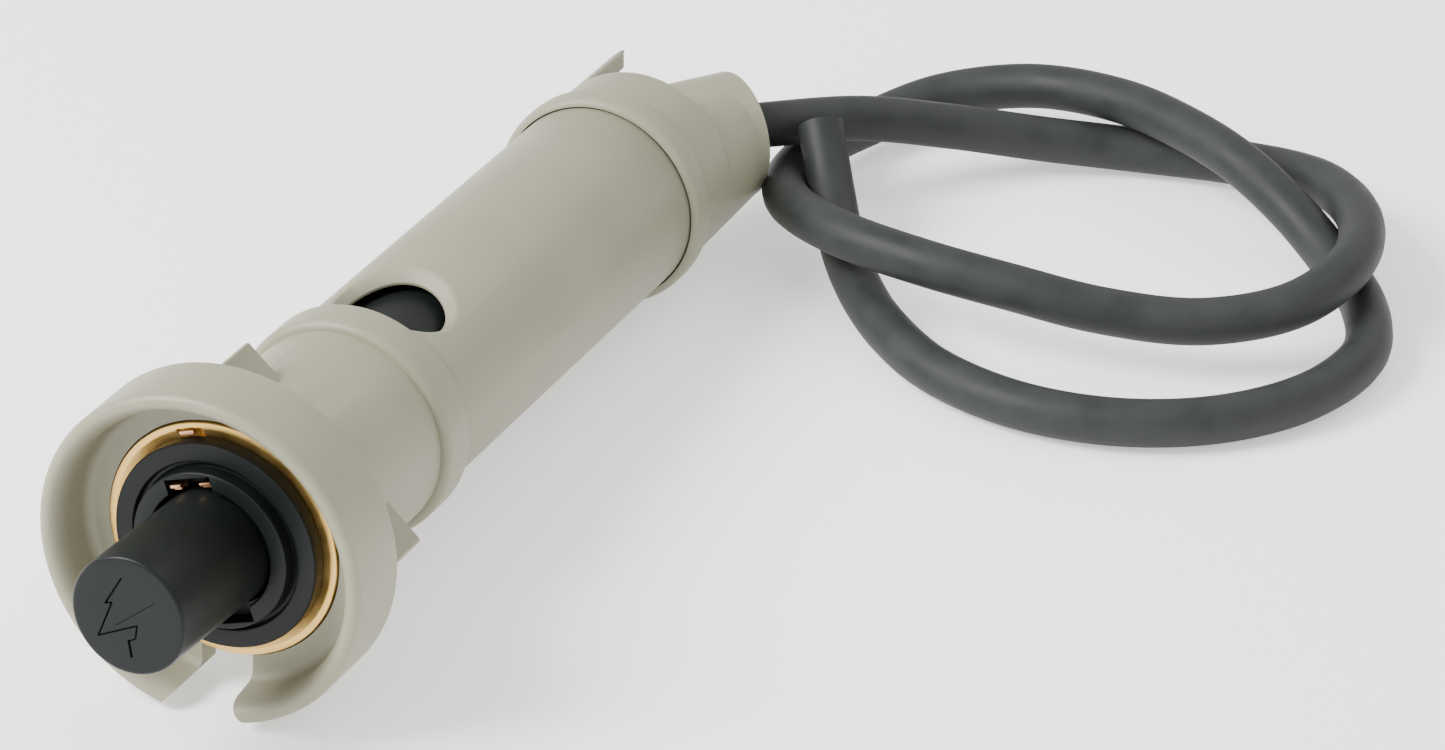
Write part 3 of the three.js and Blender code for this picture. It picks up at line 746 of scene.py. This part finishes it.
# each stroke runs from one (x, z) to the next, with the width and depth of its cut
BOLT_STROKES = [
    ((-0.9, 5.2), (-3.2, 1.2), 0.26, 0.4),
    ((-3.2, 1.2), (-2.3, 1.4), 0.22, 0.4),
    ((-2.3, 1.4), (-4.3, -3.8), 0.22, 0.4),
    ((-4.3, -3.8), (1.4, -1.0), 0.22, 0.35),
    ((1.4, -1.0), (1.2, -2.9), 0.22, 0.4),
    ((1.2, -2.9), (0.2, -3.5), 0.2, 0.3),
    ((0.2, -3.5), (0.6, -5.6), 0.34, 0.4),
    ((4.0, 2.9), (-1.6, -1.6), 0.1, 0.1),
]


def stroke(a, b, width, depth):
    """A groove cutter with a V section, run along the button's face."""
    a, b = Vector(a), Vector(b)
    along = (b - a).normalized()
    side = Vector((-along.y, along.x)) * width
    bm = bmesh.new()
    rows = []
    for point in (a - along * width / 2, b + along * width / 2):
        row = []
        for reach, y in ((-1, -depth), (1, -depth), (0.15, depth), (-0.15, depth)):
            edge = point + side * reach
            row.append(bm.verts.new((edge.x, BUTTON_FACE + y, edge.y)))
        rows.append(row)
    bm.faces.new(rows[0])
    bm.faces.new(rows[1][::-1])
    for i in range(4):
        j = (i + 1) % 4
        bm.faces.new((rows[0][i], rows[1][i], rows[1][j], rows[0][j]))
    bmesh.ops.recalc_face_normals(bm, faces=bm.faces)
    return bm


def plunger_button():
    edge = 0.55
    profile = [
        (0, BUTTON_FACE),
        *arc(BUTTON_R - edge, BUTTON_FACE + edge, edge, -90, 0, 8),
        (BUTTON_R, SHOULDER_FRONT),
        (SHOULDER_R, SHOULDER_FRONT),
        (SHOULDER_R, SHOULDER_BACK),
        (BUTTON_R, SHOULDER_BACK),
        (BUTTON_R, BUTTON_END),
        (HOLLOW_R, BUTTON_END),
        (HOLLOW_R, HOLLOW_FLOOR),
        (0, HOLLOW_FLOOR),
    ]
    obj = mesh_object("button", lathe(profile, 160))
    for a, b, width, depth in BOLT_STROKES:
        boolean(obj, stroke(a, b, width, depth))
    lean = about_axis(TILT_DIRECTION) @ Matrix.Rotation(math.radians(BUTTON_TILT), 4, "Z")
    lean = lean @ about_axis(-TILT_DIRECTION)
    pivot = Matrix.Translation((0, TILT_PIVOT, 0))
    obj.data.transform(pivot @ lean @ pivot.inverted())
    return settle(obj, "plunger_button", "black_plastic", 30, "plunger")


# ---- the two springs behind the button, as fixed coils
SPRING_FRONT = HOLLOW_FLOOR + 0.4
COIL_STEPS = 24
WIRE_SIDES = 10


def wound_spring(node, radius, wire, back, turns):
    """A fixed coil from just behind the button's hollow floor back to the given rear end."""
    first = SPRING_FRONT + wire / 2
    rise = (back - wire / 2 - first) / (math.tau * turns)
    bm = bmesh.new()
    rows = []
    for i in range(turns * COIL_STEPS + 1):
        turn = math.tau * i / COIL_STEPS
        out = Vector((math.cos(turn), 0, math.sin(turn)))
        along = Vector((-radius * math.sin(turn), rise, radius * math.cos(turn))).normalized()
        across = along.cross(out)
        middle = out * radius + Vector((0, first + rise * turn, 0))
        row = []
        for k in range(WIRE_SIDES):
            angle = math.tau * k / WIRE_SIDES
            reach = out * math.cos(angle) + across * math.sin(angle)
            row.append(bm.verts.new(middle + reach * wire / 2))
        rows.append(row)
    for near, far in zip(rows, rows[1:]):
        for k in range(WIRE_SIDES):
            n = (k + 1) % WIRE_SIDES
            bm.faces.new((near[k], near[n], far[n], far[k]))
    bm.faces.new(rows[0])
    bm.faces.new(rows[-1][::-1])
    bmesh.ops.recalc_face_normals(bm, faces=bm.faces)
    obj = settle(mesh_object(node + "_coil", bm), node, "steel", 50, body=None)
    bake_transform(obj)


front_housing()
body_tube()
rear_elbow()
spout_grommet()
brass_ring()
ring_key()
igniter_barrel()
contact_clip("contact_clip_left", -1)
contact_clip("contact_clip_right", 1)
plunger_button()
wound_spring("return_spring", radius=5.5, wire=0.9, back=-10.2, turns=7)
wound_spring("hammer_spring", radius=3.9, wire=0.8, back=-9.2, turns=9)

route = smooth_route([Vector((x, y - MIDDLE_MM, z)) * MM for x, y, z in CORD_ROUTE_MM])
cable = curve_object("cable_jacket", route, CABLE_R * MM)
cable.data.materials.append(MATERIALS["cable_rubber"])
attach(cable, "housing")
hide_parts("ignition_cable")

# ---- floor and light
FLOOR_DROP = 0.0002
FLOOR_REACH = 4
FLOOR_GREY = 0.93
FLOOR_ROUGHNESS = 0.95
FLOOR_GLOW = 0.6
WORLD_GLOW = 1.12
floor_data = bpy.data.meshes.new("floor")
corners = [(x * FLOOR_REACH, y * FLOOR_REACH, -FLOOR_DROP)
           for x, y in ((-1, -1), (1, -1), (1, 1), (-1, 1))]
floor_data.from_pydata(corners, [], [(0, 1, 2, 3)])
floor = bpy.data.objects.new("floor", floor_data)
bpy.context.scene.collection.objects.link(floor)
floor_material, _, floor_shader = node_material("floor")
floor_shader.inputs["Base Color"].default_value = (FLOOR_GREY, FLOOR_GREY, FLOOR_GREY, 1)
floor_shader.inputs["Roughness"].default_value = FLOOR_ROUGHNESS
floor_shader.inputs["Emission Color"].default_value = (1, 1, 1, 1)
floor_shader.inputs["Emission Strength"].default_value = FLOOR_GLOW
floor_data.materials.append(floor_material)

world = bpy.data.worlds.new("world")
bpy.context.scene.world = world
world.use_nodes = True
background = world.node_tree.nodes["Background"]
background.inputs["Color"].default_value = (1, 1, 1, 1)
background.inputs["Strength"].default_value = WORLD_GLOW


LIT_POINT = (0.03, 0.03, 0)       # where both lamps point, beside the housing


def area_light(name, at, size, energy):
    data = bpy.data.lights.new(name, "AREA")
    data.size = size
    data.energy = energy
    obj = bpy.data.objects.new(name, data)
    bpy.context.scene.collection.objects.link(obj)
    obj.location = at
    obj.rotation_mode = "QUATERNION"
    obj.rotation_quaternion = (Vector(LIT_POINT) - Vector(at)).to_track_quat("-Z", "Y")


area_light("key", at=(-0.56, -0.46, 0.72), size=0.5, energy=21)
area_light("back", at=(0.45, 0.6, 0.8), size=0.6, energy=2)
